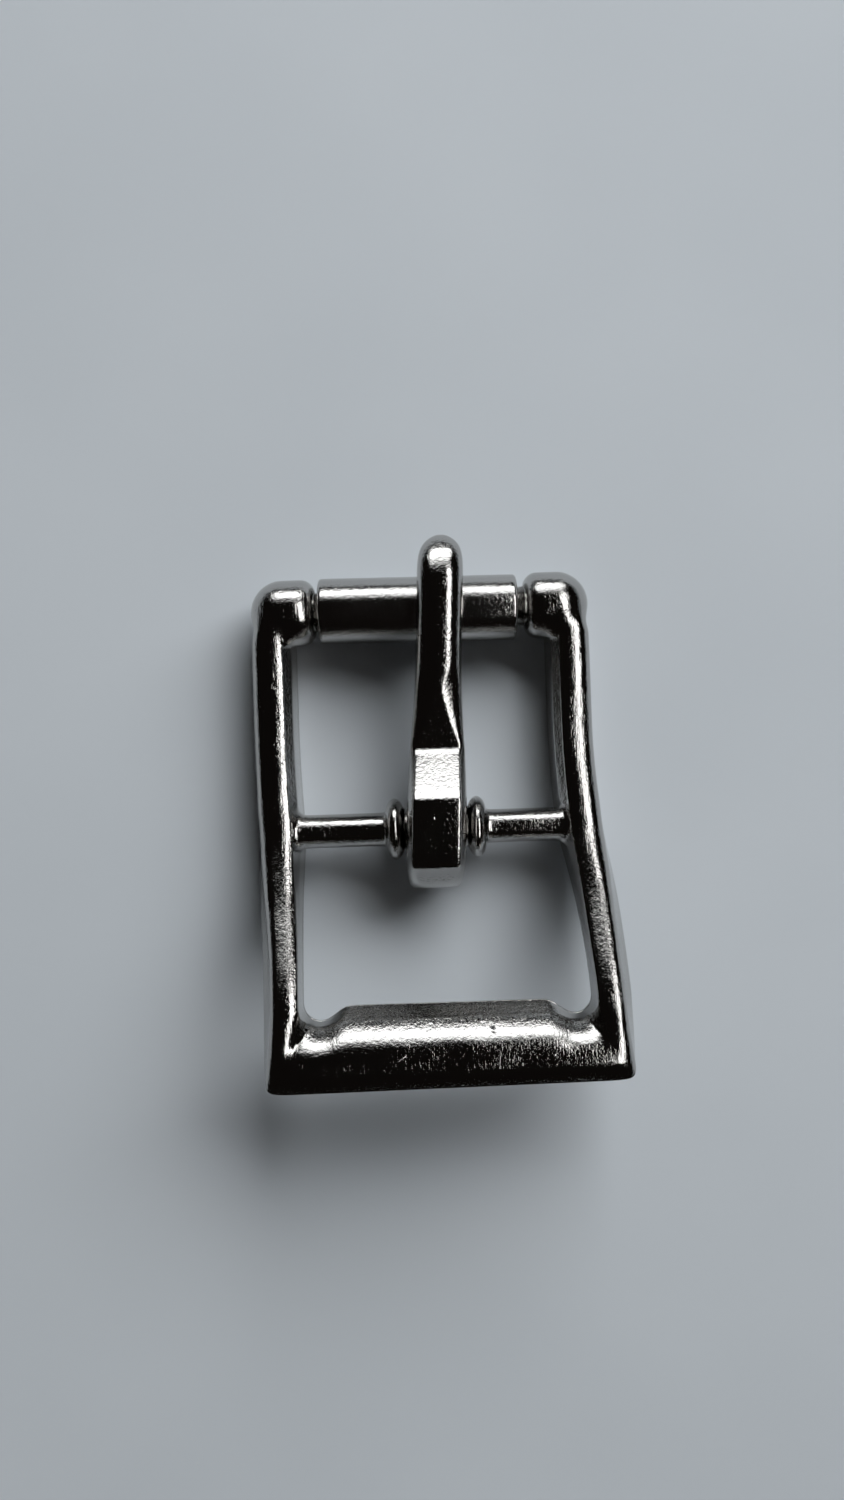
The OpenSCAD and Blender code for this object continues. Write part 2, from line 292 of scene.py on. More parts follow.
class NodeTree:
    """Makes the nodes of one material."""

    def __init__(self, name: str) -> None:
        """Makes an empty material.

        Args:
            name: the material's name.
        """
        self.material = bpy.data.materials.new(name)
        self.material.use_nodes = True
        self.tree = self.material.node_tree
        self.tree.nodes.clear()

    @classmethod
    def of_light(cls, data: bpy.types.Light) -> "NodeTree":
        """Returns the emptied nodes of a light.

        Args:
            data: the light.

        Returns:
            Its tree, without a material.
        """
        made = cls.__new__(cls)
        made.material, made.tree = None, data.node_tree
        made.tree.nodes.clear()
        return made

    def node(
        self, kind: str, settings: dict[str, Any] | None = None, inputs: dict[Any, Any] | None = None, output: Any = 0
    ) -> Wire:
        """Makes a node.

        Args:
            kind: the node's type.
            settings: its properties, set first.
            inputs: a value or a wire for each socket, by name or number.
            output: the socket to return.

        Returns:
            The wanted output.
        """
        made = self.tree.nodes.new(kind)
        for name, value in (settings or {}).items():
            setattr(made, name, value)
        for key, value in (inputs or {}).items():
            if isinstance(value, Wire):
                self.tree.links.new(value.socket, made.inputs[key])
            else:
                made.inputs[key].default_value = value
        return Wire(self, made.outputs[output]) if made.outputs else Wire(self, made.inputs[0])

    def maths(self, operation: str, *values: Wire | float) -> Wire:
        """Makes a Math node."""
        return self.node("ShaderNodeMath", {"operation": operation}, dict(enumerate(values)))

    def place(self, stretch: Sequence[float] = (1, 1, 1), offset: Sequence[float] = (0, 0, 0)) -> Wire:
        """Returns the place on the piece in millimetres, moved by an offset and then stretched.

        Args:
            stretch: factor along each axis.
            offset: shift along each axis, in millimetres.

        Returns:
            The place.
        """
        coords = self.node("ShaderNodeTexCoord", output="Object")
        scale = tuple(s / MM for s in stretch)
        shift = tuple(o * s for o, s in zip(offset, stretch))
        return self.node("ShaderNodeMapping", inputs={"Vector": coords, "Scale": scale, "Location": shift})

    def noise(self, place: Wire, scale: float, detail: float = 2.0, rough: float = 0.5, bend: float = 0.0) -> Wire:
        """Returns noise about 0.5, with its features about one over the scale apart."""
        inputs = {"Vector": place, "Scale": scale, "Detail": detail, "Roughness": rough, "Distortion": bend}
        return self.node("ShaderNodeTexNoise", inputs=inputs)

    def mix_colours(self, share: Wire, a: Sequence[float], b: Sequence[float]) -> Wire:
        """Mixes two colours."""
        return self.node("ShaderNodeMix", {"data_type": "RGBA"}, {0: share, 6: (*a, 1.0), 7: (*b, 1.0)}, 2)


class Mark(Enum):
    """Forms of a small mark in the plating."""

    NICK = "nick"
    SPECK = "speck"
    SCRATCH = "scratch"


# Width and length of each form, as shares of the mark's size
MARK_SHAPES = {Mark.NICK: (1.0, 0.7), Mark.SPECK: (1.0, 1.0), Mark.SCRATCH: (0.16, 1.6)}


@dataclass(frozen=True)
class SmallMark:
    """One mark: its form, its middle in millimetres, its size and its direction in degrees."""

    form: Mark
    middle: Point
    size: float
    turn: float = 0.0


@dataclass(frozen=True)
class Nickel:
    """Bright nickel plate with the grain, polish lines and waves of what lies under it."""

    name: str
    tint: tuple[float, float, float] = (0.50, 0.49, 0.475)
    roughness: float = 0.045
    grain: float = 1.0
    waves: float = 1.0
    polish: float = 1.0
    marks: tuple[SmallMark, ...] = ()
    # Heights in millimetres of each layer of relief at full strength
    fine_h: float = 0.029
    bead_h: float = 0.080
    pit_h: float = 0.0015
    wave_h: float = 0.045
    patch_line_h: float = 0.013
    line_h: float = 0.009
    mark_depth: float = 0.12
    # What each layer adds to the roughness, and the shade of the duller places
    dull_rough: float = 0.03
    patch_rough: float = 0.02
    bead_rough: float = 0.06
    dull_shade: float = 0.93

    def mark_height(self, tree: NodeTree, mark: SmallMark) -> Wire:
        """Returns the height of one mark, from 0 to 1.

        Args:
            tree: the finish's nodes.
            mark: the mark.

        Returns:
            The height, 1 at its middle.
        """
        angle = math.radians(mark.turn)
        shape = MARK_SHAPES[mark.form]
        place = tree.place(offset=(-mark.middle[0], -mark.middle[1], 0))
        turned = tree.node("ShaderNodeVectorRotate", {"rotation_type": "Z_AXIS"}, {"Vector": place, "Angle": angle})
        flat = tree.node(
            "ShaderNodeVectorMath", {"operation": "MULTIPLY"}, {0: turned, 1: (1 / shape[0], 1 / shape[1], 0)}
        )
        distance = tree.node("ShaderNodeVectorMath", {"operation": "LENGTH"}, {0: flat}, "Value")
        return 1 - distance.band(0, mark.size)

    def material(self) -> bpy.types.Material:
        """Builds the finish.

        Returns:
            The material.
        """
        tree = NodeTree(self.name)
        rough_line = tree.node("ShaderNodeAttribute", {"attribute_name": "grain"}, output="Fac")
        fine = tree.noise(tree.place(), scale=3.6, detail=3, rough=0.66)
        beads = tree.noise(tree.place(offset=(3, 6, 2)), scale=2.8, detail=1)
        pits = tree.noise(tree.place(offset=(7, 3, 1)), scale=6.0).band(0.54, 0.66)
        waves = tree.noise(tree.place(offset=(2, 9, 4)), scale=0.42, rough=0.4)
        lines = tree.noise(tree.place((7.5, 0.55, 2.0)), scale=1.0, detail=3, rough=0.6, bend=0.4)
        patchy = tree.noise(tree.place(offset=(5, 1, 8)), scale=0.35).band(0.35, 0.7)
        height = (
            fine * (self.fine_h * self.grain)
            + beads * rough_line * (self.bead_h * self.grain)
            - pits * patchy * (self.pit_h * self.grain)
            + waves * (self.wave_h * self.waves)
            + lines * patchy * (self.patch_line_h * self.polish)
            + lines * (self.line_h * self.polish)
        )
        for mark in self.marks:
            height = height + self.mark_height(tree, mark) * (self.mark_depth * mark.size)
        bump = tree.node("ShaderNodeBump", inputs={"Strength": 1.0, "Distance": MM, "Height": height})
        dull = tree.noise(tree.place(offset=(1, 2, 3)), scale=1.3, detail=3, rough=0.6)
        roughness = self.roughness + dull * self.dull_rough + patchy * self.patch_rough + rough_line * self.bead_rough
        shade = tree.mix_colours(dull, tuple(c * self.dull_shade for c in self.tint), self.tint)
        tree.node(
            "ShaderNodeOutputMaterial",
            inputs={
                "Surface": tree.node(
                    "ShaderNodeBsdfPrincipled",
                    inputs={"Base Color": shade, "Metallic": 1.0, "Roughness": roughness, "Normal": bump},
                )
            },
        )
        return tree.material


@dataclass(frozen=True)
class Section:
    """Section across the casting, in shares of its width and height, as the part's source has it."""

    in_lean: float
    in_wall: float
    crown: float
    flatness: float
    shoulder: float
    out_wall: float
    out_lean: float
    knee_lean: float
    knee: float

    def towards(self, other: "Section", share: float) -> "Section":
        """Returns the section at a share of the way to another."""
        return Section(*mix_points(astuple(self), astuple(other), share))


ROUND_SECTION = Section(0.19, 0.94, 0.46, 2.4, 2.0, 0.70, 0.08, 0.12, 0.775)
FLAT_SECTION = Section(0.03, 0.86, 0.44, 2.6, 2.0, 0.66, 0.24, 0.50, 0.50)
HEEL_SECTION = Section(0.03, 0.40, 0.60, 2.0, 1.05, 0.78, 0.02, 0.30, 0.19)


@dataclass(frozen=True)
class ArmRow:
    """Row of the arm's table: place, inner and outer edge, height and section, as shares."""

    along: float
    inner: float
    outer: float
    tall: float
    cut: float


ARM = tuple(
    ArmRow(*row)
    for row in (
        (1.05, 0.06, -2.4, 0.9, 0),
        (1.00, 0, -1.6, 1.45, 0),
        (0.96, 0, -1.15, 1.50, 0),
        (0.92, 0, -0.9, 1.25, 0),
        (0.88, 0, -0.65, 0.90, 0),
        (0.83, 0, -0.57, 0.76, 0),
        (0.72, 0, -0.5, 0.70, 0),
        (0.56, 0.02, -0.5, 0.70, 0),
        (0.38, 0.02, -0.5, 0.76, 0),
        (0.24, 0.04, -0.4, 0.86, 0.05),
        (0.11, 0.07, -0.15, 0.97, 0.1),
        (0, 0.13, 0, 1, 0.18),
        (-0.11, 0.27, 0.45, 0.94, 0.3),
        (-0.23, 0.51, 0.85, 0.78, 0.5),
        (-0.36, 0.76, 1, 0.52, 0.75),
        (-0.50, 0.87, 0.7, 0.28, 0.9),
        (-0.63, 0.94, 0.3, 0.10, 1),
        (-0.76, 1, 0.05, 0.02, 1),
        (-0.92, 1, 0, 0, 1),
    )
)

# Vertices of a casting ring, from the inner foot up the inner wall, over the crown and down to the outer foot
INNER_FOOT, INNER_EDGE, INNER_SHOULDER, OUTER_SHOULDER, OUTER_EDGE, OUTER_FOOT = 0, 1, 10, 20, 22, 23
RING = 28
# Vertex at the middle of a boss's inner face, and those that stay on that face where the arm begins
FACE_MIDDLE = 6
TAB = range(3, 10)
# Where the vertices of the inner wall, its bevel and the sole stand, as shares of their stretch
WALL_SHARES = (0.2, 0.4, 0.6, 0.8)
BEVEL_SHARES = (0.0, 0.12, 0.5, 0.88)
CROWN_STEPS = 10
SOLE_SHARES = (0.2, 0.4, 0.6, 0.8)
# Lines along the casting: vertex, then sharpness or grain on its round and on its flat stretches
LINE_CREASES = (
    (INNER_FOOT, 0.9, 0.9),
    (OUTER_FOOT, 0.9, 0.9),
    (INNER_EDGE, 0.5, 0.6),
    (OUTER_EDGE, 0.5, 0.6),
    (INNER_SHOULDER, 0.0, 0.45),
    (OUTER_SHOULDER, 0.0, 0.45),
)
GRAINY_LINES = (
    (INNER_EDGE, 1.0, 1.9),
    (INNER_SHOULDER + 1, 0.4, 0.5),
    (OUTER_EDGE, 0.4, 0.4),
    (OUTER_SHOULDER, 0.35, 0.35),
)


@dataclass(frozen=True)
class Station:
    """Place where the casting is cut: two points in plan, height, section and the lip's reach."""

    inner: Point
    outer: Point
    height: float
    section: Section
    lip: float = 0.0
    flat: float = 0.0

    def mirrored(self) -> "Station":
        """Returns the same station on the other side."""
        flip = [(-p[0], p[1]) for p in (self.inner, self.outer)]
        return Station(flip[0], flip[1], self.height, self.section, self.lip, self.flat)


# Across a collar: places as shares of its width and radii as shares of its own
COLLAR = ((0.03, 0.72), (0.14, 0.88), (0.36, 0.985), (0.5, 1.0), (0.64, 0.985), (0.86, 0.88), (0.97, 0.72))
# The fillet at the bar's end: radii as shares of the bar's and distances from the arm
SEAT = ((1.22, 0.0), (1.07, 0.2), (1.01, 0.42))


@dataclass
class Casting:
    """The cast frame: heel bar, two arms, two bosses, axle and centre bar. Lengths are in millimetres."""

    bar_y: float
    bar_z: float
    material: bpy.types.Material
    strap_w: float = 20.0
    arm_w: float = 3.75
    arm_h: float = 4.7
    low_arm_h: float = 3.15
    flare: float = 0.75
    swell: float = 0.2
    sweep: float = 1.15
    sweep_from: float = 0.47
    bar_to_roller: float = 17.15
    bar_to_wall: float = 13.9
    foot_edge: float = 0.3
    heel_depth: float = 4.7
    heel_turn: float = 0.7
    heel_h: float = 3.35
    heel_rise: float = 6.5
    heel_end: float = 0.15
    lip_w: float = 1.1
    lip_top: float = 0.55
    lip_slant: float = 2.2
    inner_r: float = 1.3
    outer_r: float = 0.8
    boss_d: float = 5.2
    boss_in: float = 1.95
    boss_step: float = 0.5
    boss_rim: float = 1.2
    boss_z: float = 2.65
    # Where the arm turns into the boss, as shares of the boss's radius in front of its axis
    blend_from: float = -0.85
    blend_over: float = 0.75
    axle_d: float = 3.1
    axle_sunk: float = 0.6
    bar_d: float = 2.6
    hub_d: float = 3.1
    hub_l: float = 5.0
    hub_shift: float = 0.4
    collar_d: float = 4.8
    collar_w: float = 1.4
    # Cuts through a boss, from its axis and as shares of its radius, front first
    boss_cuts: tuple[float, ...] = (
        0.985, 0.93, 0.815, 0.655, 0.44, 0.19, -0.08, -0.345, -0.575, -0.77, -0.905, -0.98,
    )
    # Cuts through an arm in front of and behind the centre bar
    arm_cuts: tuple[float, ...] = (14.55, 14.25, 13.8, 12.9, 11.6, 10.0, 8.2, 6.4, 4.7, 3.3, 2.4)
    low_cuts: tuple[float, ...] = (-2.4, -3.3, -4.4, -5.6, -7.0, -8.6, -10.2, -11.6, -12.5)
    bar_cuts: tuple[float, ...] = (1.75, 1.17, 0.58, 0.0, -0.58, -1.17, -1.75)
    rings: list[Ring] = field(default_factory=list)

    @property
    def bar_to_heel(self) -> float:
        """Distance from the centre bar to the heel bar's outer edge."""
        return self.bar_to_wall + self.heel_depth

    @property
    def heel_out(self) -> float:
        """Half the length of the heel bar."""
        return self.strap_w / 2 + self.arm_w + self.heel_end

    @property
    def notch_x(self) -> float:
        """Where the inner corner begins, from the middle line."""
        return self.strap_w / 2 + self.flare - self.inner_r

    def middle_x(self, y: float) -> float:
        """Returns the casting's middle line at a distance in front of the centre bar."""
        start = self.sweep_from * self.bar_to_roller
        return -self.sweep * (1 - eased((start - y) / (start + self.bar_to_wall)))

    def lift(self, y: float) -> float:
        """Returns how far the casting's sole stands up at a distance in front of the centre bar."""
        share = min(1.0, max(0.0, -y / (self.bar_to_wall - self.inner_r)))
        return self.heel_rise * mix(share, eased(share), 0.5)

    def cast_place(self, x: float, y: float, z: float) -> tuple[float, float, float]:
        """Returns a straight casting's point in the real one, with its sweep and the heel bar's turn.

        Args:
            x: place across from the middle line.
            y: place in front of the centre bar.
            z: height over the sole.

        Returns:
            The point in the buckle's frame.
        """
        back = max(0.0, (-y - self.bar_to_wall) / self.heel_depth)
        turned = y + back * x * math.tan(math.radians(self.heel_turn))
        return x + self.middle_x(y), turned + self.bar_y, z + self.lift(y)

    def arm_row(self, y: float) -> ArmRow:
        """Reads the arm's table at a distance in front of the centre bar.

        Args:
            y: the distance.

        Returns:
            The row there, worked out from its two neighbours.
        """
        along = y / (self.bar_to_roller if y > 0 else self.bar_to_wall)
        for a, b in zip(ARM, ARM[1:]):
            if along >= b.along:
                return ArmRow(*mix_points(astuple(a), astuple(b), (a.along - along) / (a.along - b.along)))
        return ARM[-1]

    def arm_station(self, y: float) -> Station:
        """Returns the right arm's station at a distance in front of the centre bar.

        Args:
            y: the distance.

        Returns:
            The station.
        """
        row = self.arm_row(y)
        inner = self.strap_w / 2 + self.flare * row.inner
        outer = self.strap_w / 2 + self.arm_w + row.outer * (self.boss_step if y > 0 else self.swell)
        low, high = (self.arm_h, self.boss_d) if row.tall > 1 else (self.low_arm_h, self.arm_h)
        height = mix(low, high, row.tall - (row.tall > 1))
        return Station(
            (inner, y), (outer, y), height, ROUND_SECTION.towards(FLAT_SECTION, row.cut), flat=row.cut
        )

    def corner_outer(self, share: float) -> Point:
        """Returns the point on the outline at a share of the way round the heel's corner.

        Args:
            share: from 0 on the arm to 1 on the heel bar.

        Returns:
            Its X and its Y from the centre bar.
        """
        from_y, turn = self.bar_to_wall - self.inner_r, math.radians(90 * (3 * share - 1))
        if share <= 1 / 3:
            return (
                self.heel_out - self.heel_end * eased(1 - 3 * share),
                -mix(from_y, self.bar_to_heel - self.outer_r, 3 * share),
            )
        if share >= 2 / 3:
            return mix(self.heel_out - self.outer_r, self.notch_x, 3 * share - 2), -self.bar_to_heel
        return (
            self.heel_out - self.outer_r + self.outer_r * math.cos(turn),
            -self.bar_to_heel + self.outer_r - self.outer_r * math.sin(turn),
        )

    def corner_station(self, share: float) -> Station:
        """Returns the station at a share of the way round the right heel corner.

        Args:
            share: from 0 on the arm to 1 on the heel bar.

        Returns:
            The station.
        """
        turn = math.radians(90 * share)
        inner = (
            self.notch_x + self.inner_r * math.cos(turn),
            -self.bar_to_wall + self.inner_r - self.inner_r * math.sin(turn),
        )
        return Station(
            inner,
            self.corner_outer(share),
            mix(self.low_arm_h, self.heel_h, eased(share)),
            FLAT_SECTION.towards(HEEL_SECTION, eased(1.6 * share)),
            flat=1.0,
        )

    def heel_station(self, x: float) -> Station:
        """Returns the heel bar's station at a distance from the middle line."""
        lip = self.lip_w * eased((self.notch_x - x) / self.lip_slant)
        return Station((x, -self.bar_to_wall), (x, -self.bar_to_heel), self.heel_h, HEEL_SECTION, lip, 1.0)

    def outline(self, station: Station) -> list[Point]:
        """Returns a station's ring as distances from its inner point and heights.

        Args:
            station: the station.

        Returns:
            A point for each vertex of the ring, from the inner foot.
        """
        width = math.dist(station.inner, station.outer)
        height, section = station.height, station.section
        edge = (-station.lip, self.foot_edge)
        inner = (section.in_lean * width - self.lip_top * station.lip, section.in_wall * height)
        outer = (width - section.out_lean * width, section.out_wall * height)
        knee = (mix(edge[0], inner[0], section.knee_lean), section.knee * height)
        points = [(-station.lip, 0.0), edge] + [mix_points(edge, knee, s) for s in WALL_SHARES]
        points += [mix_points(knee, inner, s) for s in BEVEL_SHARES] + [inner]
        for step in range(1, CROWN_STEPS):
            u = -math.cos(math.pi * step / CROWN_STEPS)
            x = mix(section.crown * width, inner[0] if u < 0 else outer[0], abs(u))
            wall = mix(inner[1], outer[1], (x - inner[0]) / (outer[0] - inner[0]))
            arch = (1 - abs(u) ** section.flatness) ** (1 / section.shoulder)
            points.append((x, mix(wall, height, arch)))
        points += [outer, mix_points(outer, (width, self.foot_edge), 0.5), (width, self.foot_edge), (width, 0.0)]
        return points + [(mix(width, -station.lip, s), 0.0) for s in SOLE_SHARES]

    def ring_points(self, station: Station) -> list[tuple[float, float, float]]:
        """Returns a station's ring in the buckle's frame.

        Args:
            station: the station.

        Returns:
            A point for each vertex of the ring.
        """
        width = math.dist(station.inner, station.outer)
        points = []
        for across, z in self.outline(station):
            x, y = mix_points(station.inner, station.outer, across / width)
            points.append(self.cast_place(x, y, z))
        return points

    def boss_outline(self, ahead: float) -> list[Point]:
        """Returns the section through a boss at a distance in front of its axis.

        Args:
            ahead: the distance, within the boss's radius.

        Returns:
            Places across from the casting's middle line, and heights.
        """
        radius, rim = self.boss_d / 2, self.boss_rim
        face, ball = self.strap_w / 2 - self.boss_in, self.strap_w / 2 + self.arm_w - self.boss_step - radius
        start = math.asin(max(0.0, abs(ahead) - radius + rim) / rim)
        upper = [(face + rim * (1 - math.cos(start)), 0.0)]
        for share in (0.1, 0.5, 1.0):
            turn = mix(start, math.pi / 2, share)
            reach = radius - rim + rim * math.sin(turn)
            upper.append((face + rim * (1 - math.cos(turn)), math.sqrt(max(reach**2 - ahead**2, 0.0))))
        half = math.sqrt(radius**2 - ahead**2)
        upper.append((mix(face + rim, ball, 0.8), half))
        upper += [
            (ball + half * math.sin(math.radians(9 * i)), half * math.cos(math.radians(9 * i))) for i in range(10)
        ]
        ring: list[Point] = [(0.0, 0.0)] * RING
        for i, (x, z) in enumerate(upper):
            ring[(FACE_MIDDLE - i) % RING] = (x, self.boss_z - z)
            ring[(FACE_MIDDLE + i) % RING] = (x, self.boss_z + z)
        return ring

    def boss_points(self, share: float, side: int) -> list[tuple[float, float, float]]:
        """Returns the ring at a cut through a boss.

        Args:
            share: the cut's place in front of the axis, as a share of the radius.
            side: 1 for the right boss and -1 for the left boss.

        Returns:
            A point for each vertex of the ring.
        """
        ahead = share * self.boss_d / 2
        y = self.bar_to_roller + ahead
        boss = self.boss_outline(ahead)
        weight = eased((share - self.blend_from) / self.blend_over)
        station = self.arm_station(y)
        arm = [(station.inner[0] + across, z) for across, z in self.outline(station)]
        ring = [b if i in TAB else mix_points(a, b, weight) for i, (a, b) in enumerate(zip(arm, boss))]
        return [self.cast_place(side * x, y, z) for x, z in ring]

    def stations(self) -> list[Station]:
        """Cuts the right half.

        Returns:
            The stations, from the boss to beside the middle of the heel bar.
        """
        arms = [self.arm_station(y) for y in self.arm_cuts + self.bar_cuts + self.low_cuts]
        corner = [self.corner_station(i / 6) for i in range(7)]
        slant = [self.heel_station(self.notch_x - self.lip_slant * i / 5) for i in range(1, 6)]
        heel = [self.heel_station((self.notch_x - self.lip_slant) * (1 - i / 4)) for i in range(1, 4)]
        return arms + corner + slant + heel

    def bar_profile(self, wall: float) -> list[Point]:
        """Draws the centre bar's profile on one side of its middle.

        Args:
            wall: distance from the middle to the arm.

        Returns:
            Distances from the middle and radii, outwards.
        """
        bar, collar, hub = self.bar_d / 2, self.collar_d / 2, self.hub_d / 2
        start = self.hub_l / 2
        profile = [(start - 0.25, hub), (start - 0.04, hub * 1.02)]
        profile += [(start + self.collar_w * p, collar * r) for p, r in COLLAR]
        profile += [(start + self.collar_w + 0.04, bar * 1.03), (start + self.collar_w + 0.3, bar)]
        return profile + [(mix(start + self.collar_w, wall, 0.5), bar), (wall - 0.8, bar)]

    def seat(self, cage: Cage, ring: Ring, angles: Sequence[float], steps: Sequence[Point], side: int) -> Ring:
        """Draws the small fillet between the centre bar and an arm, which follows the arm's inner side.

        Args:
            cage: the control mesh.
            ring: the ring to grow from.
            angles: the angles of its vertices about the bar's axis.
            steps: for each new ring its radius, as a share of the bar's, and its distance from the arm.
            side: 1 for the right arm and -1 for the left arm.

        Returns:
            The last new ring.
        """
        station = self.arm_station(0.0)
        inner_side = self.outline(station)[INNER_EDGE : INNER_SHOULDER + 1]
        for wide, out in steps:
            points = circle(0.0, self.bar_d / 2 * wide, (self.bar_y, self.bar_z), angles)
            placed = []
            for _, y, z in points:
                low, high = next(
                    ((a, b) for a, b in zip(inner_side, inner_side[1:]) if z <= b[1]), tuple(inner_side[-2:])
                )
                depth = mix(low[0], high[0], (z - low[1]) / (high[1] - low[1]))
                placed.append((self.middle_x(0) + side * (station.inner[0] + depth - out), y, z))
            ring = cage.grow(ring, placed)
        return ring

    def build_bar(self, cage: Cage, first_bar_ring: int) -> None:
        """Draws the centre bar from a hole in the right arm to its partner in the left arm.

        Args:
            cage: the control mesh.
            first_bar_ring: number of the first ring at the bar.
        """
        rows = range(first_bar_ring, first_bar_ring + len(self.bar_cuts))
        columns = range(INNER_EDGE + 2, INNER_SHOULDER + 1)
        border = cage.open_patch(self.rings, rows, columns)
        mirrored_rows = range(len(self.rings) - 1 - rows[-1], len(self.rings) - rows[0])
        cage.open_patch(self.rings, mirrored_rows, columns)
        right = [self.rings[r][c] for r, c in border]
        left = [self.rings[len(self.rings) - 1 - r][c] for r, c in border]
        centre = (self.bar_y, self.bar_z)
        angles = even_angles(right, centre)
        middle = self.middle_x(0)
        hub = middle + self.hub_shift
        wall = self.strap_w / 2 + self.flare * self.arm_row(0).inner
        right_profile = self.bar_profile(wall - self.hub_shift)
        left_profile = self.bar_profile(wall + self.hub_shift)
        ring = self.seat(cage, right, angles, SEAT, 1)
        for x, radius in reversed(right_profile):
            ring = cage.grow(ring, circle(hub + x, radius, centre, angles))
        for x, radius in left_profile:
            ring = cage.grow(ring, circle(hub - x, radius, centre, angles))
        ring = self.seat(cage, ring, angles, SEAT[::-1], -1)
        cage.join(ring, left)

    def build_axle(self, cage: Cage) -> None:
        """Adds the roller's axle, whose ends are sunk in the bosses.

        Args:
            cage: the control mesh.
        """
        reach = self.strap_w / 2 - self.boss_in + self.axle_sunk
        turn = Matrix.Rotation(math.pi / 2, 4, "Y")
        place = Vector((self.middle_x(self.bar_to_roller), self.bar_y + self.bar_to_roller, self.boss_z))
        made = bmesh.ops.create_cone(
            cage.bm, cap_ends=True, segments=32, radius1=self.axle_d / 2, radius2=self.axle_d / 2, depth=2 * reach,
            matrix=Matrix.Translation(place) @ turn,
        )
        for edge in {e for v in made["verts"] for e in v.link_edges if len(e.link_faces) == 2}:
            if any(len(f.verts) > 4 for f in edge.link_faces):
                edge[cage.crease] = 1.0

    def build(self) -> bpy.types.Object:
        """Builds the casting as one closed skin with its axle.

        Returns:
            The piece.
        """
        cage = Cage()
        half = self.stations()
        stations = half + [self.heel_station(0.0)] + [s.mirrored() for s in reversed(half)]
        places = [self.boss_points(cut, 1) for cut in self.boss_cuts]
        places += [self.ring_points(s) for s in stations]
        places += [self.boss_points(cut, -1) for cut in reversed(self.boss_cuts)]
        self.rings = [cage.start(places[0])]
        for points in places[1:]:
            self.rings.append(cage.grow(self.rings[-1], points))
        cage.close(self.rings[0], FACE_MIDDLE)
        cage.close(self.rings[-1], FACE_MIDDLE)
        first, last = len(self.boss_cuts), len(self.boss_cuts) + len(stations)
        flat = [0.0] * first + [s.flat for s in stations] + [0.0] * first
        solid = [float(first <= i < last - 1) for i in range(len(self.rings))]
        for index, low, high in LINE_CREASES:
            cage.mark(self.rings, index, lambda i, low=low, high=high: solid[i] * mix(low, high, flat[i]))
        for i in range(first, last):
            for index, low, high in GRAINY_LINES:
                self.rings[i][index][cage.grain] = mix(low, high, flat[i])
        self.build_bar(cage, first + len(self.arm_cuts))
        self.build_axle(cage)
        piece = finish_piece(cage, "cast_frame", self.material)
        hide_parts("frame")
        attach(piece, "frame")
        return piece


@dataclass
class Roller:
    """The loose roller tube. Lengths are in millimetres."""

    centre: tuple[float, float, float]
    material: bpy.types.Material
    outer: float = 5.1
    bore: float = 3.3
    length: float = 15.4
    rim: float = 0.3
    bore_rim: float = 0.12
    turn: float = -0.5
    steps: int = 96

    def build(self) -> bpy.types.Object:
        """Turns the tube's outline about its axis.

        Returns:
            The piece.
        """
        cage = Cage()
        half, outer, bore, rim = self.length / 2, self.outer / 2, self.bore / 2, self.rim
        mouth, wide = half - self.bore_rim, bore + self.bore_rim
        arc = [math.radians(15 * i) for i in range(7)]
        corner = [(half - rim + rim * math.sin(a), outer - rim + rim * math.cos(a)) for a in arc]
        lengths = [-half * 0.5, 0.0, half * 0.5]
        top = [(-x, r) for x, r in reversed(corner)] + [(x, outer) for x in lengths] + corner
        inside = [(half, wide), (mouth, bore), (-mouth, bore), (-half, wide)]
        outline = [Vector((x, 0.0, r)) for x, r in top + inside]
        ring = cage.start(outline)
        edges = [cage.bm.edges.get((a, b)) for a, b in zip(ring, ring[1:] + ring[:1])]
        bmesh.ops.spin(
            cage.bm, geom=[*ring, *edges], cent=(0, 0, 0), axis=(1, 0, 0), angle=math.tau, steps=self.steps,
            use_merge=True,
        )
        bmesh.ops.rotate(
            cage.bm, verts=cage.bm.verts, cent=(0, 0, 0), matrix=Matrix.Rotation(math.radians(self.turn), 3, "Z")
        )
        bmesh.ops.translate(cage.bm, verts=cage.bm.verts, vec=Vector(self.centre))
        piece = finish_piece(cage, "roller_tube", self.material, 0)
        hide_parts("roller")
        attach(piece, "roller")
        return piece


@dataclass(frozen=True)
class TongueRow:
    """Row of the tongue's table: reach, top, underside, width and section, as shares."""

    reach: float
    top: float
    under: float
    wide: float
    facet: float
    crease: float = 0.0


